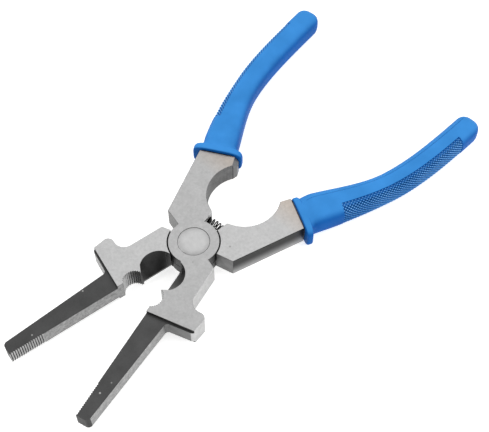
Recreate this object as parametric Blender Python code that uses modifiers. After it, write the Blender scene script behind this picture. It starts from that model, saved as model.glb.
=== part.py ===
# Spring-loaded welding pliers lying flat: two forged levers lap-jointed on a rivet, a coil
# spring between their arms and a moulded grip on each handle. Each lever is drawn in a closed
# frame of its own, with "along" running from the pivot towards the nose and "out" towards the
# side that its jaw is on, and is then turned about the pivot to the open rest pose.
import math

import bmesh
import bpy
from mathutils import Matrix, Vector
from mathutils.geometry import interpolate_bezier

MM = 0.001

# Fits
GAP = 0.3 * MM  # between neighbouring pieces
OVERCUT = 1.0 * MM  # how far a cutter runs past the face that it opens

# Pose: half of the angle between the levers at rest
HALF_OPEN = math.radians(12.3)

# Lap joint
THICKNESS = 9.4 * MM
HUB_R = 9.75 * MM
SHOULDER_GAP = 0.45 * MM  # between a hub and the shoulders that it turns in
RIVET_HEAD_R = 5.85 * MM
RIVET_HEAD_T = 1.2 * MM
RIVET_SHANK_R = 4.3 * MM
JAW_NECK = math.radians(65)  # where the hub's rim meets the back of the jaw
ARM_INNER = math.radians(187)  # where it meets the arm's inner flank
ARM_OUTER = math.radians(248)  # where it meets the arm's outer flank

# Jaw head
FACE_CLEAR = 0.25 * MM  # from the closing plane to a jaw's inner face
HIP_ALONG = 6.05 * MM
HIP_OUT = 12.5 * MM
NECK_LENGTH = 20.2 * MM
NECK_FILLET = 4.1 * MM
BUMP_FILLET = 2.5 * MM
BUMP_OUT = 20.4 * MM
HEAD_LENGTH = 9.5 * MM  # from the back of the hammer face to the front wall
HEAD_LEAN = 1.7 * MM  # the front wall leans back by this at its outer end
HEAD_OUT = 19.7 * MM

# Round notch for contact tips
NOTCH_SETBACK = 2.8 * MM  # behind the head's front wall
NOTCH_LENGTH = 7.4 * MM
NOTCH_DEPTH = 2.4 * MM
NOTCH_TEETH = 12
NOTCH_TOOTH_DEPTH = 0.25 * MM

# Wire cutter
CUTTER_SETBACK = 0.7 * MM  # behind the notch
CUTTER_ARC_SETBACK = 0.9 * MM  # the bevel's upper rim starts this far behind the edge's end
CUTTER_WALL = 2.9 * MM  # how far the recess's front wall runs outwards
CUTTER_LEAN = 0.5  # how far that wall runs forwards for each step inwards
CUTTER_SAGITTA = 3.6 * MM
CUTTER_EDGE_Z = 2.3 * MM
CUTTER_LAND = 0.4 * MM
CUTTER_RELIEF = 0.75 * MM

# Nose
NOSE_LENGTH = 45.0 * MM
NOSE_ROOT = 8.5 * MM
NOSE_TIP = 5.3 * MM
NOSE_DROP = 1.5 * MM
NOSE_LIFT = 1.3 * MM  # the same step on the underside
NOSE_STEP_CUT = 0.3 * MM  # how far both steps are cut into the front wall, across the whole head
NOSE_ROOT_FILLET = 1.5 * MM
NOSE_TIP_FILLET = 1.6 * MM
NOSE_TEETH = 16
NOSE_PITCH = 0.94 * MM
NOSE_TOOTH_DEPTH = 0.45 * MM
NOSE_PLAIN = 0.8 * MM  # smooth stretch between the last tooth and the tip

# Arm
HIP_ARM_ALONG = -6.9 * MM
HIP_ARM_OUT = -15.7 * MM
ARM_WIDTH = 14.2 * MM  # at the collar
COLLAR_ALONG = -39.1 * MM
COLLAR_OUT = -12.8 * MM
COLLAR_HEADING = math.radians(196.1)
ARM_CORNER = 2.6 * MM
ARM_CHEEK = 1.6 * MM  # how far the arm's inner side swells below its upper face at the collar
ARM_CHEEK_DEPTH = 2.6 * MM
NOZZLE_SETBACK = 2.2 * MM  # the nozzle's arc ends this far short of the collar
NOZZLE_OUT = -4.6 * MM
NOZZLE_SAGITTA = 5.2 * MM
NOZZLE_TEETH = 32
NOZZLE_TOOTH_DEPTH = 0.2 * MM
HUMP_OUT = -1.5 * MM
HUMP_CORNER = 0.7 * MM

# Handle: the curve that the tang and the grip follow
HANDLE_LENGTH = 86.0 * MM  # collar to grip end, measured along the closing plane
UPPER_SPLAY = 2.5 * MM  # how much further out the upper lever's end lies than its collar
LOWER_SPLAY = 4.8 * MM  # the same on the lower lever, whose handle is bent out a little more
END_HEADING = math.radians(170.5)
START_PULL = 35.7 * MM
END_PULL = 46.0 * MM
PATH_STEPS = 60

# Grip
GRIP_WIDTH = 10.5 * MM
GRIP_DEPTH = 10.9 * MM
LIP_SIDE = 2.5 * MM  # how far the lip stands out past the arm's flanks
LIP_FACE = 1.2 * MM  # and past its flat faces
LIP_LENGTH = 2.8 * MM
LIP_ROUND = 0.6 * MM
LIP_RISE = 0.5 * MM  # how far the lip's middle lies above the steel's
UPPER_LIP_SHIFT = 0.2 * MM  # how far the upper grip's lip lies to the outer side
LOWER_LIP_SHIFT = 1.0 * MM  # the same on the lower grip
LIP_SQUARENESS = 4.0
ROOT_FACE = 2.0 * MM  # how far the grip behind the lip stands out past the arm's flat faces
ROOT_RISE = 1.4 * MM  # the same behind the lip, fading out along the taper
ROOT_TAPER = 38.6 * MM
SQUARENESS = 3.4  # exponent of the section: 2 is an ellipse, more is squarer
RING_POINTS = 24

# Tang
TANG_INSET = 0.2 * MM  # its root is this much smaller all round than the arm
NECK_WALL_SIDE = 1.9 * MM  # the grip's wall just behind the lip, with the gap
NECK_WALL_FACE = 2.6 * MM
GRIP_WALL_SIDE = 2.15 * MM  # the same on the plain stretch
GRIP_WALL_FACE = 2.25 * MM
TANG_END = 10.0 * MM  # short of the grip's end
TANG_ROOT = 3.0 * MM  # length that is buried in the arm
TANG_CORNER = 0.22  # share of each half side that its corners are cut back by

# Spring
WIRE_R = 0.25 * MM
COIL_R = 1.95 * MM  # outside of the coil
COIL_PITCH = 1.4 * MM
POCKET_GAP = 0.35 * MM
POCKET_DEPTH = 4.2 * MM
POCKET_WALL = 0.25 * MM
HUMP_WALL = 0.35 * MM
COIL_POINTS = 12

# Facets
ROUND_STEPS = 72
FILLET_STEPS = 5
LOFT_STEPS = 6
END_SWEEP = math.radians(85)  # the grip's round end stops just short of a point

# Worked out from the above
SHOULDER_R = HUB_R + SHOULDER_GAP
CUTTER_BACK = HUB_R + SHOULDER_GAP / 2
HEAD_END = NECK_LENGTH + NECK_FILLET + HEAD_LENGTH
NOTCH_FRONT = HEAD_END - NOTCH_SETBACK
NOTCH_BACK = NOTCH_FRONT - NOTCH_LENGTH
CUTTER_FRONT = NOTCH_BACK - CUTTER_SETBACK
CUTTER_ARC_FRONT = CUTTER_FRONT - CUTTER_ARC_SETBACK
NOZZLE_END = -COLLAR_ALONG - NOZZLE_SETBACK
LIP_WIDTH = ARM_WIDTH + 2 * LIP_SIDE
LIP_DEPTH = THICKNESS + 2 * LIP_FACE
ROOT_WIDTH = ARM_WIDTH
ROOT_DEPTH = THICKNESS + 2 * ROOT_FACE
TANG_NECK_WIDTH = ROOT_WIDTH - 2 * NECK_WALL_SIDE
TANG_NECK_DEPTH = ROOT_DEPTH - 2 * NECK_WALL_FACE
TANG_WIDTH = GRIP_WIDTH - 2 * GRIP_WALL_SIDE
TANG_DEPTH = GRIP_DEPTH - 2 * GRIP_WALL_FACE
POCKET_R = COIL_R + POCKET_GAP
SPRING_R = SHOULDER_R + POCKET_WALL + POCKET_R
HUMP_R = SPRING_R + POCKET_R + HUMP_WALL
MIDDLE = THICKNESS / 2
TIP_ALONG = HEAD_END + NOSE_LENGTH


def clear_scene():
    for item in list(bpy.data.objects):
        bpy.data.objects.remove(item, do_unlink=True)


def new_collection(name):
    group = bpy.data.collections.new(name)
    bpy.context.scene.collection.children.link(group)
    return group


def material(name, colour, metallic, roughness):
    made = bpy.data.materials.new(name)
    made.use_nodes = True
    shader = made.node_tree.nodes["Principled BSDF"]
    shader.inputs["Base Color"].default_value = (*colour, 1.0)
    shader.inputs["Metallic"].default_value = metallic
    shader.inputs["Roughness"].default_value = roughness
    return made


def link_mesh(name, mesh, group):
    item = bpy.data.objects.new(name, mesh)
    group.objects.link(item)
    return item


def curve_to_mesh(item, group):
    # A filled curve as a closed mesh, with its loose caps welded on
    bpy.context.view_layer.update()
    evaluated = item.evaluated_get(bpy.context.evaluated_depsgraph_get())
    mesh = bpy.data.meshes.new_from_object(evaluated)
    weld = bmesh.new()
    weld.from_mesh(mesh)
    bmesh.ops.remove_doubles(weld, verts=weld.verts, dist=0.000001)
    bmesh.ops.recalc_face_normals(weld, faces=weld.faces)
    weld.to_mesh(mesh)
    weld.free()
    made = link_mesh(item.name + "_mesh", mesh, group)
    made.matrix_world = item.matrix_world.copy()
    bpy.data.objects.remove(item, do_unlink=True)
    return made


def plate(name, outline, low, high, group):
    # A flat outline, given as (x, y) points, between two heights
    curve = bpy.data.curves.new(name, "CURVE")
    curve.dimensions = "2D"
    curve.fill_mode = "BOTH"
    curve.extrude = (high - low) / 2
    spline = curve.splines.new("POLY")
    spline.points.add(len(outline) - 1)
    for point, (x, y) in zip(spline.points, outline):
        point.co = (x, y, 0, 1)
    spline.use_cyclic_u = True
    item = bpy.data.objects.new(name, curve)
    item.location.z = (low + high) / 2
    group.objects.link(item)
    return curve_to_mesh(item, group)


def loft(name, sections, group):
    # A closed skin over rings that all have the same number of points
    skin = bmesh.new()
    rings = [[skin.verts.new(point) for point in section] for section in sections]
    count = len(rings[0])
    for ring, following in zip(rings, rings[1:]):
        for i in range(count):
            j = (i + 1) % count
            skin.faces.new((ring[i], ring[j], following[j], following[i]))
    skin.faces.new(rings[0][::-1])
    skin.faces.new(rings[-1])
    bmesh.ops.recalc_face_normals(skin, faces=skin.faces)
    bmesh.ops.triangulate(skin, faces=skin.faces)
    mesh = bpy.data.meshes.new(name)
    skin.to_mesh(mesh)
    skin.free()
    return link_mesh(name, mesh, group)


def turned(name, profile, group):
    # A profile of (radius, height) points, top to bottom, turned about the pivot
    mesh = bpy.data.meshes.new(name)
    edges = [(i, i + 1) for i in range(len(profile) - 1)]
    mesh.from_pydata([(radius, 0, height) for radius, height in profile], edges, [])
    item = link_mesh(name, mesh, group)
    screw = item.modifiers.new("turn", "SCREW")
    screw.axis = "Z"
    screw.angle = 2 * math.pi
    screw.steps = ROUND_STEPS
    screw.render_steps = ROUND_STEPS
    screw.use_merge_vertices = True
    screw.merge_threshold = 0.00001
    return item


def cylinder(name, radius, low, high, group):
    bpy.ops.mesh.primitive_cylinder_add(
        vertices=ROUND_STEPS, radius=radius, depth=high - low, location=(0, 0, (low + high) / 2)
    )
    item = bpy.context.object
    item.name = name
    for owner in list(item.users_collection):
        owner.objects.unlink(item)
    group.objects.link(item)
    return item


def combine(item, other, operation):
    # A live Boolean modifier, with its other object kept out of the render
    step = item.modifiers.new(other.name, "BOOLEAN")
    step.operation = operation
    step.solver = "EXACT"
    step.object = other
    other.hide_render = True
    other.display_type = "WIRE"


def on_circle(centre, radius, start, end, steps):
    return [
        (
            centre[0] + radius * math.cos(start + (end - start) * i / steps),
            centre[1] + radius * math.sin(start + (end - start) * i / steps),
        )
        for i in range(steps + 1)
    ]


def bulge(start, end, sagitta, steps):
    # The arc from start to end that stands out by its sagitta to the left of the way
    chord = Vector(end) - Vector(start)
    half = chord.length / 2
    radius = (half * half + sagitta * sagitta) / (2 * sagitta)
    left = Vector((-chord.y, chord.x)).normalized()
    centre = (Vector(start) + Vector(end)) / 2 + left * (sagitta - radius)
    sweep = math.asin(min(1.0, half / radius))
    middle = math.atan2(left.y, left.x)
    return on_circle(centre, radius, middle + sweep, middle - sweep, steps)


def serrated(points, depth):
    # Every second point moved to the left of the way, which makes a row of teeth
    made = list(points)
    for i in range(1, len(points) - 1, 2):
        way = Vector(points[i + 1]) - Vector(points[i - 1])
        left = Vector((-way.y, way.x)).normalized()
        made[i] = (points[i][0] + left.x * depth, points[i][1] + left.y * depth)
    return made


def straight(start, end, steps):
    return [
        (start[0] + (end[0] - start[0]) * i / steps, start[1] + (end[1] - start[1]) * i / steps)
        for i in range(steps + 1)
    ]


def front_wall(out):
    # Where the head's leaning front wall stands at a given distance out
    return HEAD_END - HEAD_LEAN * out / HEAD_OUT


def cutter_arc(steps):
    # The upper rim of the cutter's recess, from its front wall to the hub's shoulder
    start = (CUTTER_ARC_FRONT, FACE_CLEAR + CUTTER_WALL)
    end = (CUTTER_BACK, FACE_CLEAR)
    return bulge(start, end, -CUTTER_SAGITTA, steps)


def jaw_outline():
    # From the hub's rim at the back of the jaw, round the head and nose to the hub again
    back = on_circle((NECK_LENGTH, HIP_OUT + NECK_FILLET), NECK_FILLET, -math.pi / 2, 0, FILLET_STEPS)
    bump_centre = (NECK_LENGTH + NECK_FILLET + BUMP_FILLET, BUMP_OUT - BUMP_FILLET)
    bump = on_circle(bump_centre, BUMP_FILLET, math.pi, math.radians(97), FILLET_STEPS)
    root_out = NOSE_ROOT + NOSE_ROOT_FILLET
    root_centre = (front_wall(root_out) + NOSE_ROOT_FILLET, root_out)
    root = on_circle(root_centre, NOSE_ROOT_FILLET, math.pi, 1.5 * math.pi, FILLET_STEPS)
    corner = (TIP_ALONG - NOSE_TIP_FILLET, NOSE_TIP - NOSE_TIP_FILLET)
    tip = on_circle(corner, NOSE_TIP_FILLET, math.radians(87), 0, FILLET_STEPS)
    teeth_start = TIP_ALONG - NOSE_PLAIN
    teeth_end = teeth_start - NOSE_TEETH * NOSE_PITCH
    teeth = straight((teeth_start, FACE_CLEAR), (teeth_end, FACE_CLEAR), 2 * NOSE_TEETH)
    notch = bulge((NOTCH_FRONT, FACE_CLEAR), (NOTCH_BACK, FACE_CLEAR), -NOTCH_DEPTH, 2 * NOTCH_TEETH)
    return (
        [(HIP_ALONG, HIP_OUT)]
        + back
        + bump
        + [(front_wall(HEAD_OUT), HEAD_OUT)]
        + root
        + tip
        + [(TIP_ALONG, FACE_CLEAR)]
        + serrated(teeth, -NOSE_TOOTH_DEPTH)
        + serrated(notch, -NOTCH_TOOTH_DEPTH)
    )


def handle_path(splay):
    # The handle's middle line as (along, out) points, from the collar to the grip's end
    start = Vector((COLLAR_ALONG, COLLAR_OUT, 0))
    end = Vector((COLLAR_ALONG - HANDLE_LENGTH, COLLAR_OUT - splay, 0))
    first = start + START_PULL * Vector((math.cos(COLLAR_HEADING), math.sin(COLLAR_HEADING), 0))
    second = end - END_PULL * Vector((math.cos(END_HEADING), math.sin(END_HEADING), 0))
    return interpolate_bezier(start, first, second, end, PATH_STEPS)


def path_length(path):
    return sum((b - a).length for a, b in zip(path, path[1:]))


def at_length(path, length):
    # The point at a length along the path and the direction there, straight on past its ends
    done = 0.0
    for a, b in zip(path, path[1:]):
        step = (b - a).length
        if length <= done + step or b == path[-1]:
            way = (b - a).normalized()
            return a + way * (length - done), way
        done += step


def arm_outline():
    # From the hub's rim at the inner flank, round the arm to the rim at the outer flank
    collar = Vector((COLLAR_ALONG, COLLAR_OUT, 0))
    way = Vector((math.cos(COLLAR_HEADING), math.sin(COLLAR_HEADING), 0))
    across = Vector((way.y, -way.x, 0)) * ARM_WIDTH / 2
    inner = collar + across * (1 + 2 * ARM_CHEEK / ARM_WIDTH)
    outer = collar - across
    corner = inner - way * ARM_CORNER
    nozzle = bulge((-HUMP_R, HUMP_OUT), (-NOZZLE_END, NOZZLE_OUT), NOZZLE_SAGITTA, 2 * NOZZLE_TEETH)
    return (
        [(-HUMP_R + HUMP_CORNER, HUMP_OUT + HUMP_CORNER)]
        + serrated(nozzle, NOZZLE_TOOTH_DEPTH)
        + [(corner.x, corner.y), (inner.x, inner.y), (outer.x, outer.y)]
        + [(HIP_ARM_ALONG, HIP_ARM_OUT)]
    )


def lever_outline():
    face_angle = math.asin(FACE_CLEAR / HUB_R)
    quarter = ROUND_STEPS // 4
    rim_inner = on_circle((0, 0), HUB_R, JAW_NECK, ARM_INNER, quarter)
    rim_outer = on_circle((0, 0), HUB_R, ARM_OUTER, 2 * math.pi + face_angle, quarter)
    return rim_inner + arm_outline() + rim_outer + jaw_outline()[::-1]


def place(side, along, out):
    # Closed lever frame to the part's frame: the nose points to -Y, +Y is the handles' end
    return (side * out, -along)


def placed(side, outline):
    return [place(side, along, out) for along, out in outline]


def cutter_recess(side, group):
    # The bevel of the cutting edge: straight along the edge, an arc at the upper face
    steps = 14
    edge_z = CUTTER_EDGE_Z + CUTTER_LAND / 2
    top_z = THICKNESS + OVERCUT
    grow = (top_z - edge_z) / (THICKNESS - edge_z)
    far = -4.0 * MM
    rim = cutter_arc(steps)
    sections = []
    for i, (along, out) in enumerate(rim):
        edge_along = CUTTER_FRONT + (CUTTER_BACK - CUTTER_FRONT) * i / steps
        top_along = edge_along + (along - edge_along) * grow
        top_out = FACE_CLEAR + (out - FACE_CLEAR) * grow
        lean = CUTTER_LEAN if i == 0 else 0.0
        corners = (
            (edge_along + lean * (FACE_CLEAR - far), far, edge_z),
            (edge_along, FACE_CLEAR, edge_z),
            (top_along, top_out, top_z),
            (top_along + lean * (top_out - far), far, top_z),
        )
        sections.append([(*place(side, a, o), z) for a, o, z in corners])
    return loft("cutter_recess", sections, group)


def cutter_relief(side, group):
    # The lower bevel behind the cutting edge
    edge_z = CUTTER_EDGE_Z - CUTTER_LAND / 2
    grow = (edge_z + OVERCUT) / edge_z
    far = -4.0 * MM
    sections = []
    for along in (CUTTER_FRONT - CUTTER_LAND / 2, CUTTER_BACK - CUTTER_LAND / 10):
        corners = (
            (far, edge_z),
            (FACE_CLEAR, edge_z),
            (FACE_CLEAR + CUTTER_RELIEF * grow, -OVERCUT),
            (far, -OVERCUT),
        )
        sections.append([(*place(side, along, out), z) for out, z in corners])
    return loft("cutter_relief", sections, group)


def nose_step(name, side, bottom, top, group):
    # A block in front of the head: above the nose, or below it
    low, high = -4.0 * MM, HEAD_OUT + 4.0 * MM
    past = TIP_ALONG + 4.0 * MM
    back_low = (front_wall(low) - NOSE_STEP_CUT, low)
    back_high = (front_wall(high) - NOSE_STEP_CUT, high)
    outline = [back_low, (past, low), (past, high), back_high]
    return plate(name, placed(side, outline), bottom, top, group)


def cheek_bevel(side, group):
    # The slope from the upper face down to the swollen inner side of the arm
    collar = Vector((COLLAR_ALONG, COLLAR_OUT, 0))
    way = Vector((math.cos(COLLAR_HEADING), math.sin(COLLAR_HEADING), 0))
    inwards = Vector((way.y, -way.x, 0))
    slope = ARM_CHEEK / ARM_CHEEK_DEPTH
    sections = []
    for length in (-ARM_CORNER - 2 * ARM_CHEEK, OVERCUT):
        ring = []
        for drop in (-OVERCUT, ARM_CHEEK_DEPTH + OVERCUT):
            spot = collar + way * length + inwards * (ARM_WIDTH / 2 + drop * slope)
            ring.append((*place(side, spot.x, spot.y), THICKNESS - drop))
        spot = collar + way * length + inwards * (ARM_WIDTH / 2 + 2 * ARM_CHEEK)
        for drop in (ARM_CHEEK_DEPTH + OVERCUT, -OVERCUT):
            ring.append((*place(side, spot.x, spot.y), THICKNESS - drop))
        sections.append(ring)
    return loft("cheek_bevel", sections, group)


def spring_pocket(side, group):
    # A blind hole drilled square into the arm's inner flank
    item = cylinder("spring_pocket", POCKET_R, -POCKET_DEPTH, POCKET_R, group)
    mouth = place(side, SPRING_R * math.cos(ARM_INNER), SPRING_R * math.sin(ARM_INNER))
    out_of_arm = place(side, math.sin(ARM_INNER), -math.cos(ARM_INNER))
    item.matrix_world = (
        Matrix.Translation((*mouth, MIDDLE))
        @ Vector((*out_of_arm, 0)).to_track_quat("Z", "Y").to_matrix().to_4x4()
        @ Matrix.Translation((0, 0, (POCKET_R - POCKET_DEPTH) / 2))
    )
    return item


def rivet_profile(clearance, past):
    head = RIVET_HEAD_R + clearance
    shank = RIVET_SHANK_R + clearance
    depth = RIVET_HEAD_T + clearance
    return [
        (0, THICKNESS + past),
        (head, THICKNESS + past),
        (head, THICKNESS - depth),
        (shank, THICKNESS - depth),
        (shank, depth),
        (head, depth),
        (head, -past),
        (0, -past),
    ]


def tang_stations(path, clearance, root):
    # The tang, or with a clearance its hollow: (length along the handle, width, depth)
    end = path_length(path) - TANG_END
    arm_width = ARM_WIDTH - 2 * TANG_INSET
    arm_depth = THICKNESS - 2 * TANG_INSET
    plain = (
        (-root, arm_width, arm_depth),
        (LIP_LENGTH / 2, arm_width, arm_depth),
        (LIP_LENGTH, TANG_NECK_WIDTH, TANG_NECK_DEPTH),
        (ROOT_TAPER, TANG_WIDTH, TANG_DEPTH),
        ((ROOT_TAPER + end) / 2, TANG_WIDTH, TANG_DEPTH),
        (end + clearance, TANG_WIDTH, TANG_DEPTH),
    )
    return [(s, w + 2 * clearance, d + 2 * clearance) for s, w, d in plain]


def tang_rings(side, path, clearance, root):
    ring = cut_ring()
    stations = tang_stations(path, clearance, root)
    return [handle_ring(side, path, s, w, d, 0.0, 0.0, ring) for s, w, d in stations]


def grip_rings(side, path, lip_shift):
    # Lip, taper, plain stretch and round end
    root = LIP_LENGTH + LIP_ROUND
    lip_ring, body_ring = soft_ring(LIP_SQUARENESS), soft_ring(SQUARENESS)
    lip = (
        (GAP, LIP_WIDTH - 2 * LIP_ROUND, LIP_DEPTH - 2 * LIP_ROUND),
        (GAP + LIP_ROUND, LIP_WIDTH, LIP_DEPTH),
        (LIP_LENGTH - LIP_ROUND, LIP_WIDTH, LIP_DEPTH),
        (LIP_LENGTH, LIP_WIDTH - LIP_ROUND, LIP_DEPTH - LIP_ROUND),
    )
    body = [(root, ROOT_WIDTH, ROOT_DEPTH, ROOT_RISE)]
    for i in range(1, LOFT_STEPS + 1):
        share = i / LOFT_STEPS
        ease = share * share * (3 - 2 * share)
        width = ROOT_WIDTH + (GRIP_WIDTH - ROOT_WIDTH) * ease
        depth = ROOT_DEPTH + (GRIP_DEPTH - ROOT_DEPTH) * ease
        spot = root + (ROOT_TAPER - root) * share
        body.append((spot, width, depth, ROOT_RISE * (1 - share)))
    round_from = path_length(path) - GRIP_WIDTH / 2
    for i in range(1, LOFT_STEPS + 1):
        spot = ROOT_TAPER + (round_from - ROOT_TAPER) * i / LOFT_STEPS
        body.append((spot, GRIP_WIDTH, GRIP_DEPTH, 0.0))
    for i in range(1, LOFT_STEPS + 1):
        turn = END_SWEEP * i / LOFT_STEPS
        spot = round_from + GRIP_WIDTH / 2 * math.sin(turn)
        body.append((spot, GRIP_WIDTH * math.cos(turn), GRIP_DEPTH * math.cos(turn), 0.0))
    rings = [handle_ring(side, path, s, w, d, LIP_RISE, lip_shift, lip_ring) for s, w, d in lip]
    return rings + [handle_ring(side, path, s, w, d, rise, 0.0, body_ring) for s, w, d, rise in body]


def cut_ring():
    # A square from -1 to 1 with its corners cut
    near = 1 - TANG_CORNER
    return ((1, near), (near, 1), (-near, 1), (-1, near), (-1, -near), (-near, -1), (near, -1), (1, -near))


def soft_ring(squareness):
    # A rounded square from -1 to 1
    ring = []
    for i in range(RING_POINTS):
        turn = 2 * math.pi * (i + 0.5) / RING_POINTS
        c, s = math.cos(turn), math.sin(turn)
        x = math.copysign(abs(c) ** (2 / squareness), c)
        ring.append((x, math.copysign(abs(s) ** (2 / squareness), s)))
    return ring


def handle_ring(side, path, length, width, depth, rise, shift, shape):
    # The shape square to the handle's middle line at a length along it
    middle, way = at_length(path, length)
    inwards = Vector((way.y, -way.x, 0))
    ring = []
    for x, z in shape:
        spot = middle + inwards * (x * width / 2 - shift)
        ring.append((*place(side, spot.x, spot.y), MIDDLE + rise + z * depth / 2))
    return ring


def build_lever(name, side, own_low, path, pivot, paint, parts, cutters):
    # own_low says whether this lever's hub is the lower one
    item = plate(name, placed(side, lever_outline()), 0, THICKNESS, parts)
    item.name = name
    if own_low:
        layer = (MIDDLE - GAP / 2, THICKNESS + OVERCUT)
    else:
        layer = (-OVERCUT, MIDDLE + GAP / 2)
    combine(item, cylinder("shoulder", SHOULDER_R, *layer, cutters), "DIFFERENCE")
    combine(item, cutter_recess(side, cutters), "DIFFERENCE")
    combine(item, cutter_relief(side, cutters), "DIFFERENCE")
    over = nose_step("nose_drop", side, THICKNESS - NOSE_DROP, THICKNESS + OVERCUT, cutters)
    combine(item, over, "DIFFERENCE")
    combine(item, nose_step("nose_lift", side, -OVERCUT, NOSE_LIFT, cutters), "DIFFERENCE")
    combine(item, cheek_bevel(side, cutters), "DIFFERENCE")
    combine(item, spring_pocket(side, cutters), "DIFFERENCE")
    combine(item, turned("rivet_hole", rivet_profile(GAP, OVERCUT), cutters), "DIFFERENCE")
    tang = loft(name + "_tang", tang_rings(side, path, 0, TANG_ROOT), cutters)
    combine(item, tang, "UNION")
    item.data.materials.append(paint)
    follow(item, pivot)
    for step in item.modifiers:
        follow(step.object, pivot)
    return item


def build_grip(name, side, path, lip_shift, pivot, paint, parts, cutters):
    item = loft(name, grip_rings(side, path, lip_shift), parts)
    hollow = loft(name + "_hollow", tang_rings(side, path, GAP, OVERCUT), cutters)
    combine(item, hollow, "DIFFERENCE")
    item.data.materials.append(paint)
    follow(item, pivot)
    follow(hollow, pivot)
    return item


def follow(item, pivot):
    # Parent without an inverse, so that the piece turns with its pivot
    item.parent = pivot
    item.matrix_parent_inverse = Matrix.Identity(4)


def new_pivot(name, turn, parts):
    pivot = bpy.data.objects.new(name, None)
    pivot.rotation_euler.z = turn
    parts.objects.link(pivot)
    return pivot


def build_rivet(paint, parts):
    item = turned("pivot_rivet", rivet_profile(0, 0), parts)
    item.data.materials.append(paint)
    return item


def spring_line(length, half_arc):
    # The spring's middle line: an arc round the hub, then straight on into both pockets
    reach = max(-half_arc, min(half_arc, length / SPRING_R))
    past = length - reach * SPRING_R
    outward = Vector((math.sin(reach), math.cos(reach), 0))
    forward = Vector((math.cos(reach), -math.sin(reach), 0))
    return outward * SPRING_R + forward * past, outward


def build_spring(paint, parts):
    half_arc = (ARM_INNER - math.pi) + HALF_OPEN
    half_length = half_arc * SPRING_R + POCKET_DEPTH - GAP - WIRE_R
    steps = int(2 * half_length / COIL_PITCH * COIL_POINTS)
    curve = bpy.data.curves.new("return_spring", "CURVE")
    curve.dimensions = "3D"
    curve.bevel_depth = WIRE_R
    curve.bevel_resolution = 2
    curve.use_fill_caps = True
    spline = curve.splines.new("POLY")
    spline.points.add(steps)
    for i, point in enumerate(spline.points):
        length = -half_length + 2 * half_length * i / steps
        middle, outward = spring_line(length, half_arc)
        turn = 2 * math.pi * i / COIL_POINTS
        radius = COIL_R - WIRE_R
        spot = middle + outward * radius * math.cos(turn)
        point.co = (spot.x, spot.y, MIDDLE + radius * math.sin(turn), 1)
    item = bpy.data.objects.new("return_spring_wire", curve)
    parts.objects.link(item)
    made = curve_to_mesh(item, parts)
    made.name = "return_spring"
    made.data.materials.append(paint)
    return made


def smooth(item, degrees):
    item.data.shade_smooth()
    item.data.set_sharp_from_angle(angle=math.radians(degrees))


def main():
    clear_scene()
    parts = new_collection("welding_pliers")
    cutters = new_collection("cutters")
    upper_pivot = new_pivot("upper_pivot", HALF_OPEN, parts)
    lower_pivot = new_pivot("lower_pivot", -HALF_OPEN, parts)
    upper_steel = material("upper_steel", (0.50, 0.50, 0.49), 1.0, 0.42)
    lower_steel = material("lower_steel", (0.60, 0.60, 0.59), 1.0, 0.40)
    rivet_steel = material("rivet_steel", (0.62, 0.62, 0.61), 1.0, 0.38)
    spring_steel = material("spring_steel", (0.03, 0.03, 0.03), 0.6, 0.45)
    upper_blue = material("upper_grip_vinyl", (0.04, 0.21, 0.66), 0.0, 0.42)
    lower_blue = material("lower_grip_vinyl", (0.04, 0.21, 0.66), 0.0, 0.42)
    upper_path = handle_path(UPPER_SPLAY)
    lower_path = handle_path(LOWER_SPLAY)
    build_lever("upper_lever", 1, False, upper_path, upper_pivot, upper_steel, parts, cutters)
    build_lever("lower_lever", -1, True, lower_path, lower_pivot, lower_steel, parts, cutters)
    rounded = [
        build_rivet(rivet_steel, parts),
        build_spring(spring_steel, parts),
        build_grip("upper_grip", 1, upper_path, UPPER_LIP_SHIFT, upper_pivot, upper_blue, parts, cutters),
        build_grip("lower_grip", -1, lower_path, LOWER_LIP_SHIFT, lower_pivot, lower_blue, parts, cutters),
    ]
    for item in rounded:
        smooth(item, 35)


main()
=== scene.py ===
import math

import bmesh
import bpy
from mathutils import Matrix, Vector
from mathutils.geometry import interpolate_bezier


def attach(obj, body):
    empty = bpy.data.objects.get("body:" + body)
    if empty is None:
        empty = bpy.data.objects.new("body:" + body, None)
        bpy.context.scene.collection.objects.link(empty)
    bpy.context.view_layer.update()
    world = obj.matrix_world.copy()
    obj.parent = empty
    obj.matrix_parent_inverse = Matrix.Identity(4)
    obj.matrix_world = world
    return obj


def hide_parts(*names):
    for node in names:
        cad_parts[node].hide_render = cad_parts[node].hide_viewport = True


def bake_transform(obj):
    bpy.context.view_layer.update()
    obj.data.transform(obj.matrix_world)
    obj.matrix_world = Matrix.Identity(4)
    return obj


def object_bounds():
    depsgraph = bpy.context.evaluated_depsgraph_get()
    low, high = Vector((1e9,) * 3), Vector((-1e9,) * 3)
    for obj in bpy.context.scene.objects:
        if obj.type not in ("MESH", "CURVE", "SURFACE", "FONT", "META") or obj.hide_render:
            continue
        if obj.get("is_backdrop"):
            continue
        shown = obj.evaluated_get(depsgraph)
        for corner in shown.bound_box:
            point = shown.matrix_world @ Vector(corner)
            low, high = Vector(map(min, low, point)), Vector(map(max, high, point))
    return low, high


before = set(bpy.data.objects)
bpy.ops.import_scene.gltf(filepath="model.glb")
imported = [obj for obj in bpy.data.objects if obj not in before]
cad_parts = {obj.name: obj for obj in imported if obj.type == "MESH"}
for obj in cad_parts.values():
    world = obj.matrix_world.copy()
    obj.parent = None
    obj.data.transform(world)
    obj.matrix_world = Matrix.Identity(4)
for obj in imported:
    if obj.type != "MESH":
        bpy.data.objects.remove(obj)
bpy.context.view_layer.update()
print("frame loaded:", ", ".join(sorted(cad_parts)))

# Every size below is in millimetres. Each lever is drawn closed: "along" runs from the pivot to the
# nose, "out" to the side its jaw is on. Side 1 is the lever with the upper hub, side -1 the other.
mm = 0.001
openHalf = 12.3  # degrees that each lever is turned from closed
thickness = 9.4
past = 1.0  # how far a cutting shape runs past the face that it cuts


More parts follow.
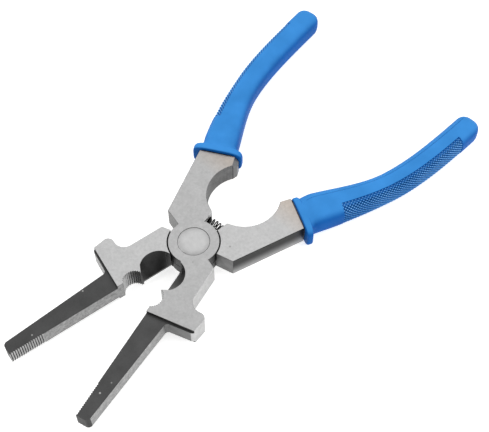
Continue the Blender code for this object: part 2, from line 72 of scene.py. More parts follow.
def place(side, along, out, height):
    # closed lever drawing to the frame the part rests in
    turn = math.radians(openHalf) * side
    x, y = side * out, -along
    return Vector((
        x * math.cos(turn) - y * math.sin(turn),
        x * math.sin(turn) + y * math.cos(turn),
        height,
    ))


def linear(hexColour):
    # sRGB hex to the linear values that a shader takes
    parts = [int(hexColour[i:i + 2], 16) / 255 for i in (1, 3, 5)]
    return (*[c / 12.92 if c <= 0.04045 else ((c + 0.055) / 1.055) ** 2.4 for c in parts], 1.0)


def addNode(tree, kind, settings=None, sockets=None):
    # one node: its own settings, and for each input a value or the output socket that feeds it
    node = tree.nodes.new("ShaderNode" + kind)
    for name, value in (settings or {}).items():
        setattr(node, name, value)
    for name, value in (sockets or {}).items():
        if isinstance(value, bpy.types.NodeSocket):
            tree.links.new(value, node.inputs[name])
        else:
            node.inputs[name].default_value = value
    return node


def newMaterial(name):
    made = bpy.data.materials.new(name)
    made.use_nodes = True
    tree = made.node_tree
    spot = addNode(tree, "TexCoord").outputs["Object"]
    return made, tree, tree.nodes["Principled BSDF"], spot


def perMm(size):
    # a texture's scale for a pattern of this size in millimetres
    return 1000 / size


# Camera, light and floor come first, so that every later stage can be looked at.

cameraSet = {
    "azimuth": 42.07, "elevation": 57.99, "distance": 413.9, "lens": 81.26,
    "toRight": 19.05, "up": 9.48, "target": (0, 0, 9.4),
}


def buildCamera(p):
    a, e = math.radians(p["azimuth"]), math.radians(p["elevation"])
    back = Vector((math.sin(a) * math.cos(e), -math.cos(a) * math.cos(e), math.sin(e)))
    right = Vector((math.cos(a), math.sin(a), 0))
    up = back.cross(right)
    data = bpy.data.cameras.new("studioCamera")
    data.lens = p["lens"]
    data.clip_start = 0.01
    camera = bpy.data.objects.new("studioCamera", data)
    spot = Vector(p["target"]) + back * p["distance"] + right * p["toRight"] + up * p["up"]
    turn = Matrix((right, up, back)).transposed().to_4x4()
    camera.matrix_world = Matrix.Translation(spot * mm) @ turn
    bpy.context.scene.collection.objects.link(camera)
    bpy.context.scene.camera = camera


lightSet = {
    "world": ("#ffffff", 0.62),
    # name: (place in mm, size in mm, brightness of its face)
    "overhead": ((-300, 330, 720), 640, 1.0),
    "leftBox": ((-640, -420, 560), 560, 3.6),
    "rightBox": ((620, 380, 520), 560, 3.0),
}


def buildLight(p):
    world = bpy.data.worlds.new("paleStudio")
    bpy.context.scene.world = world
    world.use_nodes = True
    shade, strength = p["world"]
    world.node_tree.nodes["Background"].inputs["Color"].default_value = linear(shade)
    world.node_tree.nodes["Background"].inputs["Strength"].default_value = strength
    for name in ("overhead", "leftBox", "rightBox"):
        spot, size, glow = p[name]
        data = bpy.data.lights.new(name, "AREA")
        data.shape = "DISK"
        data.size = size * mm
        data.energy = glow * math.pi * math.pi * (size / 2 * mm) ** 2
        lamp = bpy.data.objects.new(name, data)
        lamp.location = Vector(spot) * mm
        lamp.rotation_euler = (-Vector(spot)).to_track_quat("-Z", "Y").to_euler()
        bpy.context.scene.collection.objects.link(lamp)
    bpy.context.scene.view_settings.view_transform = "Standard"


floorSet = {"side": 6000, "dull": "#f7f7f6", "bright": "#fbfbfa", "cloud": 160, "glow": 0.6}


def buildFloor(p):
    # opal acrylic light table, lit from below so that shadows wash out, faintly uneven
    made, tree, shader, spot = newMaterial("opalAcrylicTable")
    cloud = addNode(tree, "TexNoise", sockets={
        "Vector": spot, "Scale": perMm(p["cloud"]), "Detail": 2.0})
    tone = addNode(tree, "Mix", {"data_type": "RGBA"},
                   {0: cloud.outputs["Fac"], 6: linear(p["dull"]), 7: linear(p["bright"])})
    tree.links.new(tone.outputs[2], shader.inputs["Base Color"])
    shader.inputs["Roughness"].default_value = 0.9
    shader.inputs["Specular IOR Level"].default_value = 0.1
    shader.inputs["Emission Color"].default_value = (1, 1, 1, 1)
    shader.inputs["Emission Strength"].default_value = p["glow"]
    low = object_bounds()[0].z - 0.00002
    half = p["side"] / 2 * mm
    mesh = bpy.data.meshes.new("studioBoard")
    corners = [(-half, -half, low), (half, -half, low), (half, half, low), (-half, half, low)]
    mesh.from_pydata(corners, [], [(0, 1, 2, 3)])
    mesh.materials.append(made)
    board = bpy.data.objects.new("studioBoard", mesh)
    bpy.context.scene.collection.objects.link(board)
    board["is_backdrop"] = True


buildCamera(cameraSet)
buildLight(lightSet)
buildFloor(floorSet)
print("camera, light and floor set")

# Each finish of the levers is one material, and a face takes it by its number.

steelFinishes = ["groundSteel", "linishedSteel", "milledSteel", "forgedSteel", "scaledSteel",
                 "blackedSteel", "honedSteel", "broachedSteel"]
ground, linished, milled, forged, scaledShaded, oxideAndShade, darkAndShade, blackAndShade = range(8)


def chromeVanadium(name, p):
    # Forged tool steel. "grain" is the mark of the wheel, belt or forging skin, "blotch" the size of
    # the cloudy patches that heat and oil leave, and "streak" stretches the grain along the lever.
    made, tree, shader, spot = newMaterial(name)
    turned = addNode(tree, "Mapping", sockets={
        "Vector": spot, "Rotation": (0, 0, math.radians(p.get("turn", 0))),
        "Scale": (1.0, 1.0 / p.get("streak", 1.0), 1.0)}).outputs["Vector"]
    grain = addNode(tree, "TexNoise", sockets={
        "Vector": turned, "Scale": perMm(p["grain"]), "Detail": 3.0, "Roughness": 0.6})
    blotch = addNode(tree, "TexNoise", sockets={
        "Vector": spot, "Scale": perMm(p["blotch"]), "Detail": 4.0, "Roughness": 0.55})
    cloud = addNode(tree, "MapRange", sockets={
        "Value": blotch.outputs["Fac"], "From Min": 0.32, "From Max": 0.68})
    base = addNode(tree, "Mix", {"data_type": "RGBA"}, {
        0: cloud.outputs["Result"], 6: linear(p["dark"]), 7: linear(p["light"])})
    speck = addNode(tree, "MapRange", sockets={
        "Value": grain.outputs["Fac"], "From Min": 0.25, "From Max": 0.75,
        "To Min": 1 - p["contrast"], "To Max": 1 + p["contrast"]})
    tone = addNode(tree, "Mix", {"data_type": "RGBA", "blend_type": "MULTIPLY"}, {
        0: 1.0, 6: base.outputs[2], 7: speck.outputs["Result"]})
    colour = tone.outputs[2]
    if "pit" in p:
        # a few pits or crumbs that the wheel did not reach
        cell = addNode(tree, "TexVoronoi", sockets={"Vector": spot, "Scale": perMm(p["pit"])})
        pit = addNode(tree, "MapRange", sockets={
            "Value": cell.outputs["Distance"], "From Min": 0.05, "From Max": 0.11})
        chance = addNode(tree, "SeparateColor", sockets={"Color": cell.outputs["Color"]})
        rare = addNode(tree, "Math", {"operation": "GREATER_THAN"}, {
            0: chance.outputs["Red"], 1: p["pitShare"]})
        keep = addNode(tree, "Math", {"operation": "MAXIMUM"}, {
            0: pit.outputs["Result"], 1: rare.outputs["Value"]})
        marked = addNode(tree, "Mix", {"data_type": "RGBA"}, {
            0: keep.outputs["Value"], 6: linear(p["pitColour"]), 7: colour})
        colour = marked.outputs[2]
    if "tint" in p:
        # straw temper colour close to the collar, on both levers alike
        way = addNode(tree, "SeparateXYZ", sockets={"Vector": spot})
        warm = addNode(tree, "MapRange", sockets={
            "Value": way.outputs["Y"], "From Min": p["tintFrom"] * mm, "From Max": p["tintTo"] * mm,
            "To Max": 0.8})
        heated = addNode(tree, "Mix", {"data_type": "RGBA", "blend_type": "MULTIPLY"}, {
            0: warm.outputs["Result"], 6: colour, 7: linear(p["tint"])})
        colour = heated.outputs[2]
    if "scaleShadeFade" in p:
        # darker towards the ground face and lighter towards the other side: partly scale, partly
        # painted shade
        way = addNode(tree, "SeparateXYZ", sockets={"Vector": spot})
        height = addNode(tree, "MapRange", {"interpolation_type": "SMOOTHSTEP"}, {
            "Value": way.outputs["Z"],
            "From Min": p["scaleShadeFade"][0] * mm, "From Max": p["scaleShadeFade"][1] * mm})
        scaleShadeColour = addNode(tree, "Mix", {"data_type": "RGBA"}, {
            0: height.outputs["Result"], 6: colour, 7: linear(p["scaleShadeColour"])})
        colour = scaleShadeColour.outputs[2]
    tree.links.new(colour, shader.inputs["Base Color"])
    rough = addNode(tree, "MapRange", sockets={
        "Value": blotch.outputs["Fac"], "To Min": p["rough"] - 0.07, "To Max": p["rough"] + 0.07})
    tree.links.new(rough.outputs["Result"], shader.inputs["Roughness"])
    shader.inputs["Metallic"].default_value = 1.0
    relief = addNode(tree, "Bump", sockets={
        "Height": grain.outputs["Fac"], "Strength": p["relief"], "Distance": 0.00005})
    tree.links.new(relief.outputs["Normal"], shader.inputs["Normal"])
    return made


# Real grain is 0.05 to 0.2 mm. Each is drawn coarser, at the size under "grain", so that it shows.
steelLooks = {
    # off a fine belt: even pale grey with a soft sparkle, a few pits, straw temper at the collar
    "groundSteel": {
        "grain": 0.9, "blotch": 5.0, "contrast": 0.10, "rough": 0.42, "relief": 0.3,
        "pit": 5.5, "pitColour": "#8f8f8e", "pitShare": 0.16,
        "tint": "#fff0e2", "tintFrom": 27.0, "tintTo": 36.0},
    # edges dressed on a slack belt: as pale as the faces, a little smoother
    "linishedSteel": {"grain": 0.6, "blotch": 3.0, "contrast": 0.10, "rough": 0.42, "relief": 0.25},
    # side-milled walls: mid grey, streaked along the cut
    "milledSteel": {
        "grain": 0.5, "blotch": 3.0, "contrast": 0.10, "rough": 0.45, "relief": 0.25,
        "streak": 3.0},
    # bare forging skin on the nose's inner walls: coarse light and dark mottle
    "forgedSteel": {"grain": 0.9, "blotch": 1.8, "contrast": 0.38, "rough": 0.46, "relief": 0.4},
    # outer flank: black under the ground face and lighter below, partly forge scale and partly
    # painted shade
    "scaledSteel": {
        "grain": 0.45, "blotch": 5.0, "contrast": 0.08, "rough": 0.40, "relief": 0.25,
        "scaleShadeFade": (-2.0, 6.4), "scaleShadeColour": "#262626"},
    # hot black oxide on the noses: flat charcoal with a few bright crumbs; on the step's wall into
    # the head the same charcoal is also painted shadow
    "blackedSteel": {
        "grain": 0.45, "blotch": 6.0, "contrast": 0.07, "rough": 0.48, "relief": 0.2,
        "pit": 4.2, "pitColour": "#b0b0ae", "pitShare": 0.2},
    # dark and even steel: painted shade on the hub's rim, for the gap between the levers; on the
    # cutter's bevel and relief it is dark steel
    "honedSteel": {"grain": 0.4, "blotch": 4.0, "contrast": 0.10, "rough": 0.45, "relief": 0.2},
    # nearly black steel: painted shade on one flank of each tooth, on the shoulder wall in the hub's
    # gap and in the spring pocket; the nose's tip and the nozzle's nick take it too
    "broachedSteel": {"grain": 0.4, "blotch": 2.5, "contrast": 0.14, "rough": 0.50, "relief": 0.35},
}
leverTones = {
    "upper": {"groundSteel": ("#a4a4a4", "#b0b0b0"), "linishedSteel": ("#a6a6a6", "#b8b8b8"),
              "milledSteel": ("#646464", "#767676"), "forgedSteel": ("#848484", "#a0a0a0"),
              "scaledSteel": ("#a6a6a6", "#b6b6b6"), "blackedSteel": ("#4b4b4b", "#565656"),
              "honedSteel": ("#424242", "#505050"), "broachedSteel": ("#262626", "#343434")},
    "lower": {"groundSteel": ("#b0b0b0", "#b9b9b9"), "linishedSteel": ("#a2a2a2", "#b4b4b4"),
              "milledSteel": ("#6c6c6c", "#7e7e7e"), "forgedSteel": ("#808080", "#9a9a9a"),
              "scaledSteel": ("#a6a6a6", "#b6b6b6"), "blackedSteel": ("#484848", "#525252"),
              "honedSteel": ("#424242", "#505050"), "broachedSteel": ("#262626", "#343434")},
}


def leverSteels(which, turn):
    steels = []
    for finish in steelFinishes:
        dark, light = leverTones[which][finish]
        look = dict(steelLooks[finish], dark=dark, light=light, turn=turn)
        steels.append(chromeVanadium(which + finish[0].upper() + finish[1:], look))
    return steels


def toObject(name, mesh, materials):
    mesh.transform(Matrix.Scale(mm, 4))
    for made in materials:
        mesh.materials.append(made)
    item = bpy.data.objects.new(name, mesh)
    bpy.context.scene.collection.objects.link(item)
    return item


def skin(name, rings, finish, capFinish=None, wallFinish=None):
    # closed skin over rings of equal count; wallFinish gives a finish for each step round the ring
    made = bmesh.new()
    rows = [[made.verts.new(point) for point in ring] for ring in rings]
    count = len(rows[0])
    for row, following in zip(rows, rows[1:]):
        for i in range(count):
            j = (i + 1) % count
            face = made.faces.new((row[i], row[j], following[j], following[i]))
            face.material_index = wallFinish[i] if wallFinish else finish
    for cap in (rows[0][::-1], rows[-1]):
        made.faces.new(cap).material_index = finish if capFinish is None else capFinish
    bmesh.ops.recalc_face_normals(made, faces=made.faces)
    mesh = bpy.data.meshes.new(name)
    made.to_mesh(mesh)
    made.free()
    return mesh


def cut(item, mesh, operation="DIFFERENCE"):
    # boolean with a mesh in millimetres, applied at once; its faces keep their own finish numbers
    tool = toObject(item.name + "Tool", mesh, list(item.data.materials))
    step = item.modifiers.new("cut", "BOOLEAN")
    step.operation, step.solver, step.object = operation, "EXACT", tool
    bpy.context.view_layer.update()
    solved = item.evaluated_get(bpy.context.evaluated_depsgraph_get())
    result = bpy.data.meshes.new_from_object(solved)
    item.modifiers.clear()
    item.data = result
    bpy.data.objects.remove(tool)


def crispAt(item, degrees):
    item.data.shade_smooth()
    item.data.set_sharp_from_angle(angle=math.radians(degrees))


def circlePoints(centre, radius, start, end, steps):
    points = []
    for i in range(steps + 1):
        turn = math.radians(start + (end - start) * i / steps)
        points.append((centre[0] + radius * math.cos(turn), centre[1] + radius * math.sin(turn)))
    return points


def bowed(start, end, rise, steps):
    # the arc from start to end that stands out by its rise to the left of the way
    chord = Vector(end) - Vector(start)
    half = chord.length / 2
    radius = (half * half + rise * rise) / (2 * rise)
    left = Vector((-chord.y, chord.x)).normalized()
    centre = (Vector(start) + Vector(end)) / 2 + left * (rise - radius)
    sweep = math.degrees(math.asin(min(1.0, half / radius)))
    middle = math.degrees(math.atan2(left.y, left.x))
    return circlePoints(centre, radius, middle + sweep, middle - sweep, steps)


def teethOn(points, depth):
    # every second point set to the left of the way
    made = list(points)
    for i in range(1, len(points) - 1, 2):
        way = Vector(points[i + 1]) - Vector(points[i - 1])
        left = Vector((-way.y, way.x)).normalized() * depth
        made[i] = (points[i][0] + left.x, points[i][1] + left.y)
    return made


def inset(outline, widths):
    # each point of a closed outline moved inwards by its own width, square to its two edges
    area = sum(a[0] * b[1] - b[0] * a[1] for a, b in zip(outline, outline[1:] + outline[:1]))
    made = []
    for i, point in enumerate(outline):
        before = Vector(point) - Vector(outline[i - 1])
        after = Vector(outline[(i + 1) % len(outline)]) - Vector(point)
        a = Vector((-before.y, before.x)).normalized()
        b = Vector((-after.y, after.x)).normalized()
        middle = (a + b) / max(0.5, 1 + a.dot(b))
        made.append(tuple(Vector(point) + middle * math.copysign(widths[i], area)))
    return made


# The levers' outlines run from the hub's rim round the head and nose, and round the arm and back.
hub = {"radius": 9.75, "shoulder": 10.2, "neckAt": 65, "innerAt": 187, "outerAt": 248,
       "lapGap": 0.15, "steps": 48}
jaw = {
    "face": 0.25, "hip": (6.05, 12.5), "neck": 20.2, "neckRound": 4.1,
    "bumpRound": 2.5, "bumpOut": 20.4,
    "headEnd": 34.3, "headLean": 1.7, "headOut": 19.7, "cornerRound": 1.5,
    "notch": (31.0, 23.6), "notchDepth": 2.4, "notchTeeth": 12, "notchTooth": 0.34,
    "noseRoot": 8.5, "noseTip": 5.3, "noseEnd": 78.8, "noseDrop": 1.5, "noseLift": 1.3,
    "stepCut": 0.8, "rootRound": 1.5, "frontFinish": {1: milled, -1: forged},
    "tipRound": 1.6, "teeth": 15, "pitch": 0.9, "tooth": 0.34, "plain": 0.25,
}
cutter = {"front": 22.9, "arcFront": 22.0, "back": 9.975, "wall": 2.9, "lean": 0.5, "rise": 3.6,
          "edge": 2.3, "land": 0.4, "relief": 0.75, "steps": 28}
arm = {
    "hip": (-6.9, -15.7), "width": 14.2, "collar": (-39.1, -12.8), "heading": 196.1,
    "corner": 2.6, "cheek": 1.6, "cheekDepth": 2.6,
    "nozzleEnd": (-36.9, -4.6), "nozzleRise": 5.2, "nozzleTeeth": 40, "nozzleTooth": 0.16,
    "nick": 0.4, "humpOut": -1.5, "humpFrom": -15.4, "humpCorner": 0.7,
}
edgeBreak = {"chamfer": 0.14}


def frontWall(out):
    return jaw["headEnd"] - jaw["headLean"] * out / jaw["headOut"]


def jawOutline(side):
    # (point, finish of the edge that reaches it), from the hub's rim round head and nose
    n, r = jaw["neck"], jaw["neckRound"]
    back = circlePoints((n, jaw["hip"][1] + r), r, -90, 0, 12)
    b = jaw["bumpRound"]
    bump = circlePoints((n + r + b, jaw["bumpOut"] - b), b, 180, 97, 10)
    lean = math.degrees(math.atan(jaw["headLean"] / jaw["headOut"]))
    c = jaw["cornerRound"]
    corner = circlePoints((frontWall(jaw["headOut"]) - c, jaw["headOut"] - c), c, 92, lean, 8)
    q = jaw["rootRound"]
    rootOut = jaw["noseRoot"] + q
    root = circlePoints((frontWall(rootOut) + q, rootOut), q, 180, 270, 8)
    end, tip, f = jaw["noseEnd"], jaw["tipRound"], jaw["face"]
    nose = circlePoints((end - tip, jaw["noseTip"] - tip), tip, 87, 0, 8)
    first = end - jaw["plain"]
    steps = 2 * jaw["teeth"]
    row = [(first - jaw["pitch"] / 2 * i, f) for i in range(steps + 1)]
    front, rear = jaw["notch"]
    notch = bowed((front, f), (rear, f), -jaw["notchDepth"], 2 * jaw["notchTeeth"])
    made = [(point, linished) for point in [jaw["hip"]] + back + bump + corner]
    made += [(point, jaw["frontFinish"][side]) for point in root]
    made += [(nose[0], forged)] + [(point, blackAndShade) for point in nose[1:] + [(end, f)]]
    # one flank of each tooth is pale steel and the other near-black: painted light and shade across
    # the teeth, here and in the notch
    made += [(point, blackAndShade if i % 2 else linished)
             for i, point in enumerate(teethOn(row, -jaw["tooth"]))]
    made += [(point, forged if not i else blackAndShade if i % 2 else linished)
             for i, point in enumerate(teethOn(notch, -jaw["notchTooth"]))]
    return made


def armOutline():
    # (point, finish of the edge that leaves it), from the hub's rim round the arm and back
    collar = Vector(arm["collar"])
    way = Vector((math.cos(math.radians(arm["heading"])), math.sin(math.radians(arm["heading"]))))
    across = Vector((way.y, -way.x)) * arm["width"] / 2
    inner = collar + across * (1 + 2 * arm["cheek"] / arm["width"])
    corner = inner - way * arm["corner"]
    nozzle = bowed((arm["humpFrom"], arm["humpOut"]), arm["nozzleEnd"], arm["nozzleRise"],
                   2 * arm["nozzleTeeth"])
    made = [((arm["humpFrom"] + arm["humpCorner"], arm["humpOut"] + arm["humpCorner"]), linished)]
    made += [(point, milled) for point in teethOn(nozzle, arm["nozzleTooth"])[:-1]]
    # a dark file nick closes the nozzle grip
    end = Vector(nozzle[-1])
    nick = end + (corner - end).normalized() * arm["nick"]
    made += [(nozzle[-1], blackAndShade)] + [(tuple(point), milled) for point in (nick, corner, inner)]
    return made + [(tuple(collar - across), scaledShaded), (arm["hip"], milled)]


def leverOutline(side):
    # closed outline with the finish of the edge that leaves each point
    faceAt = math.degrees(math.asin(jaw["face"] / hub["radius"]))
    rimInner = circlePoints((0, 0), hub["radius"], hub["neckAt"], hub["innerAt"], hub["steps"])
    rimOuter = circlePoints((0, 0), hub["radius"], hub["outerAt"], 360 + faceAt, hub["steps"])
    jawBack = jawOutline(side)[::-1]
    # the hub's rim takes the dark steel: painted shade for the gap between the levers
    return ([(point, darkAndShade) for point in rimInner[:-1]] + [(rimInner[-1], linished)]
            + armOutline() + [(point, darkAndShade) for point in rimOuter] + jawBack)


def leverBlank(name, side):
    # the outline stacked up the thickness, with a fine chamfer at both faces
    outline = leverOutline(side)
    points = [point for point, _ in outline]
    chamfer = edgeBreak["chamfer"]
    rings = []
    for height, width in ((0, chamfer), (chamfer, 0),
                          (thickness - chamfer, 0), (thickness, chamfer)):
        ring = inset(points, [width] * len(points))
        rings.append([place(side, a, o, height) for a, o in ring])
    return skin(name, rings, milled, ground, [finish for _, finish in outline])


def turnedSolid(name, profile, finish, steps=96):
    # (radius, height) pairs from one end to the other, turned about the pivot
    rings = []
    for radius, height in profile:
        rings.append([(max(radius, 0.001) * math.cos(2 * math.pi * i / steps),
                       max(radius, 0.001) * math.sin(2 * math.pi * i / steps), height)
                      for i in range(steps)])
    return skin(name, rings, finish)


def cutterRecess(side):
    c, face, far = cutter, jaw["face"], -4.0
    edge, top = c["edge"] + c["land"] / 2, thickness + past
    grow = (top - edge) / (thickness - edge)
    rings = []
    for i, (along, out) in enumerate(bowed((c["arcFront"], face + c["wall"]), (c["back"], face),
                                           -c["rise"], c["steps"])):
        low = c["front"] + (c["back"] - c["front"]) * i / c["steps"]
        high = low + (along - low) * grow
        highOut = face + (out - face) * grow
        lean = c["lean"] if i == 0 else 0.0
        rings.append([
            place(side, low + lean * (face - far), far, edge), place(side, low, face, edge),
            place(side, high, highOut, top), place(side, high + lean * (highOut - far), far, top)])
    return skin("cutterRecess", rings, darkAndShade)


def cutterRelief(side):
    c, face = cutter, jaw["face"]
    edge = c["edge"] - c["land"] / 2
    reach = face + c["relief"] * (edge + past) / edge
    rings = [[place(side, along, out, height)
              for out, height in ((-4, edge), (face, edge), (reach, -past), (-4, -past))]
             for along in (c["front"] - c["land"] / 2, c["back"] - c["land"] / 10)]
    return skin("cutterRelief", rings, darkAndShade)


def noseStep(side, bottom, top):
    # the block cut away in front of the head, above the nose or below it, a little into the head;
    # its faces take the black oxide, which on the step's wall into the head also stands in for
    # painted shadow under the head's edge
    low, high, ahead, deep = -4.0, jaw["headOut"] + 4, jaw["noseEnd"] + 4, jaw["stepCut"]
    corners = [(frontWall(low) - deep, low), (ahead, low),
               (ahead, high), (frontWall(high) - deep, high)]
    rings = [[place(side, a, o, height) for a, o in corners] for height in (bottom, top)]
    return skin("noseStep", rings, oxideAndShade)


def cheekBevel(side):
    collar = Vector(arm["collar"])
    way = Vector((math.cos(math.radians(arm["heading"])), math.sin(math.radians(arm["heading"]))))
    inwards = Vector((way.y, -way.x))
    slope = arm["cheek"] / arm["cheekDepth"]
    deep = arm["cheekDepth"] + past
    rings = []
    for length in (-arm["corner"] - 2 * arm["cheek"], past):
        ring = []
        for reach, drop in ((-slope, -past), (deep * slope, deep), (2 * arm["cheek"], deep),
                            (2 * arm["cheek"], -past)):
            spot = collar + way * length + inwards * (arm["width"] / 2 + reach)
            ring.append(place(side, spot.x, spot.y, thickness - drop))
        rings.append(ring)
    return skin("cheekBevel", rings, milled)


# The tang inside and the grip outside follow one line.

handle = {"length": 86.0, "endHeading": 170.5, "startPull": 35.7, "endPull": 46.0,
          "splay": {1: 2.5, -1: 4.8}, "steps": 240}


def handleLine(side):
    # points and running lengths from the collar to the grip's end
    start = Vector((*arm["collar"], 0))
    end = start + Vector((-handle["length"], -handle["splay"][side], 0))
    a, b = math.radians(arm["heading"]), math.radians(handle["endHeading"])
    first = start + handle["startPull"] * Vector((math.cos(a), math.sin(a), 0))
    second = end - handle["endPull"] * Vector((math.cos(b), math.sin(b), 0))
    points = interpolate_bezier(start, first, second, end, handle["steps"])
    lengths = [0.0]
    for p, q in zip(points, points[1:]):
        lengths.append(lengths[-1] + (q - p).length)
    return points, lengths


def onHandle(line, length):
    # the point at a length and the direction there, straight on past both ends
    points, lengths = line
    i = max(0, min(len(points) - 2, sum(1 for x in lengths[1:-1] if x <= length)))
    way = (points[i + 1] - points[i]).normalized()
    return points[i] + way * (length - lengths[i]), way


def alongHandle(side, line, length, ring, rise=0.0, shift=0.0):
    # a ring of (inwards, up) points set square to the handle line
    middle, way = onHandle(line, length)
    inwards = Vector((way.y, -way.x, 0))
    placed = []
    for x, z in ring:
        spot = middle + inwards * (x - shift)
        placed.append(place(side, spot.x, spot.y, thickness / 2 + rise + z))
    return placed


grip = {
    "width": 10.42, "depth": 10.82, "square": 3.0, "around": 168, "ringStep": 0.8, "gap": 0.3,
    "lipWidth": {1: 20.0, -1: 18.2}, "lipDepth": 11.7, "lipLength": 2.8, "lipRound": 0.7,
    "lipRise": 0.5, "lipShift": {1: 0.2, -1: 1.45}, "lipSquare": 4.0, "lipBlend": 0.85,
    "rootWidth": 14.2, "rootDepth": 13.34, "rootRise": 1.4, "rootFillet": 2.2, "shoulder": 5.0,
    "taper": 38.6,
    "knurlFrom": 17.0, "knurlTo": 74.5, "knurlPitch": 1.44, "knurlSteps": 6,
    "knurlHalf": {1: 28, -1: 31}, "knurlDepth": 0.62,
    "highlightBelow": 0.48, "shadeAbove": 0.76, "unshadedRows": 6,
    "partingAt": 55, "partingDepth": 0.25, "partingSide": 0.35,
}
tang = {"inset": 0.2, "neck": (10.4, 8.2), "plain": (6.2, 6.4), "short": 10.0, "root": 3.0,
        "corner": 0.22}


def tangRings(side, line, clear, root):
    # the tang, or with a clearance the hollow that it fits in
    end = line[1][-1] - tang["short"]
    arms = (arm["width"] - 2 * tang["inset"], thickness - 2 * tang["inset"])
    stations = [(-root, arms), (grip["lipLength"] / 2, arms), (grip["lipLength"], tang["neck"]),
                (grip["taper"], tang["plain"]), ((grip["taper"] + end) / 2, tang["plain"]),
                (end + clear, tang["plain"])]
    rings = []
    for length, (width, depth) in stations:
        w, d, near = width / 2 + clear, depth / 2 + clear, 1 - tang["corner"]
        corners = ((1, near), (near, 1), (-near, 1), (-1, near),
                   (-1, -near), (-near, -1), (near, -1), (1, -near))
        rings.append(alongHandle(side, line, length, [(w * x, d * z) for x, z in corners]))
    return rings


def buildLever(which, side, ownLow):
    steels = leverSteels(which, -openHalf * side)
    node = which + "_lever"
    item = toObject(which + "LeverForging", leverBlank(which + "LeverForging", side), steels)
    middle, gap = thickness / 2, hub["lapGap"]
    low, high = (middle - gap, thickness + past) if ownLow else (-past, middle + gap)
    wide = hub["shoulder"]
    # the shoulder's wall takes the near-black steel: painted shade in the gap round the other
    # lever's hub
    cut(item, turnedSolid("shoulder", [(wide, low), (wide, high)], blackAndShade, 144))
    cut(item, cutterRecess(side))
    cut(item, cutterRelief(side))
    cut(item, noseStep(side, thickness - jaw["noseDrop"], thickness + past))
    cut(item, noseStep(side, -past, jaw["noseLift"]))
    cut(item, cheekBevel(side))
    cut(item, springPocket(side))
    cut(item, turnedSolid("rivetHole", rivetHole(), milled))
    line = handleLine(side)
    cut(item, skin("tang", tangRings(side, line, 0, tang["root"]), milled), "UNION")
    crispAt(item, 28)
    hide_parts(node)
    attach(item, which + "_half")
    print(item.name, len(item.data.polygons), "faces")
    return line


# The spring sits in a blind pocket in each arm.

spring = {"wire": 0.25, "radius": 2.1, "pitch": 1.3, "closed": 1.5,
          "pocket": 2.45, "pocketDepth": 4.2, "centre": 12.6, "endGap": 0.3, "closedGap": 0.04,
          "perTurn": 20, "wireSides": 10}


def springLine(length, halfArc):
    # the coil's middle, round the hub and then straight on into both pockets, and the way out there
    radius = spring["centre"]
    reach = max(-halfArc, min(halfArc, length / radius))
    straight = length - reach * radius
    outward = Vector((math.sin(reach), math.cos(reach), 0))
    forward = Vector((math.cos(reach), -math.sin(reach), 0))
    return outward * radius + forward * straight, outward


def springPocket(side):
    radius = spring["pocket"]
    middle = spring["centre"]
    a = math.radians(hub["innerAt"])
    mouth = Vector((middle * math.cos(a), middle * math.sin(a)))
    way = Vector((math.sin(a), -math.cos(a)))
    across = Vector((-way.y, way.x))
    rings = []
    for reach in (-spring["pocketDepth"], radius):
        ring = []
        for i in range(48):
            turn = 2 * math.pi * i / 48
            spot = mouth + way * reach + across * radius * math.cos(turn)
            ring.append(place(side, spot.x, spot.y, thickness / 2 + radius * math.sin(turn)))
        rings.append(ring)
    # the pocket's walls take the near-black steel: painted shade inside the pocket
    return skin("springPocket", rings, blackAndShade)


def buildSpring():
    s = spring
    halfArc = math.radians(hub["innerAt"] - 180 + openHalf)
    half = halfArc * s["centre"] + s["pocketDepth"] - s["endGap"] - s["wire"]
    # the end turns are closed up flat, the rest are open
    turns = []
    length, turn = -half, 0.0
    while length < half:
        turns.append((length, turn))
        near = min(length + half, half - length)
        pitch = s["pitch"] if near > s["closed"] else 2 * s["wire"] + s["closedGap"]
        length += pitch / s["perTurn"]
        turn += 2 * math.pi / s["perTurn"]
    centres = []
    for length, turn in turns:
        middle, outward = springLine(length, halfArc)
        coil = s["radius"] - s["wire"]
        centres.append(middle + outward * coil * math.cos(turn)
                       + Vector((0, 0, thickness / 2 + coil * math.sin(turn))))
    rings = []
    for i, centre in enumerate(centres):
        way = (centres[min(i + 1, len(centres) - 1)] - centres[max(i - 1, 0)]).normalized()
        middle, _ = springLine(turns[i][0], halfArc)
        spoke = (centre - middle - Vector((0, 0, thickness / 2))).normalized()
        side = way.cross(spoke).normalized()
        rings.append([centre + spoke * s["wire"] * math.cos(t) + side * s["wire"] * math.sin(t)
                      for t in (2 * math.pi * k / s["wireSides"] for k in range(s["wireSides"]))])
    item = toObject("returnSpring", skin("returnSpring", rings, 0), [springWire()])
    crispAt(item, 50)
    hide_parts("return_spring")
    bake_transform(item)
    print("returnSpring", len(item.data.polygons), "faces")


def springWire():
    # oil-quenched music wire, blacked: a dark satin with a thin bright line along each turn
    return chromeVanadium("oilBlackedSpringWire", {
        "grain": 0.3, "blotch": 2.0, "contrast": 0.2, "rough": 0.36, "relief": 0.1,
        "dark": "#1d1d1d", "light": "#303030"})


rivet = {"head": 6.07, "headDeep": 1.2, "shank": 4.5, "edge": 0.24,
         "headHole": 6.15, "shankHole": 4.6, "holeDeep": 1.26}


def rivetHole():
    head, shank, deep = rivet["headHole"], rivet["shankHole"], rivet["holeDeep"]
    return [(0, -past), (head, -past), (head, deep), (shank, deep), (shank, thickness - deep),
            (head, thickness - deep), (head, thickness + past), (0, thickness + past)]


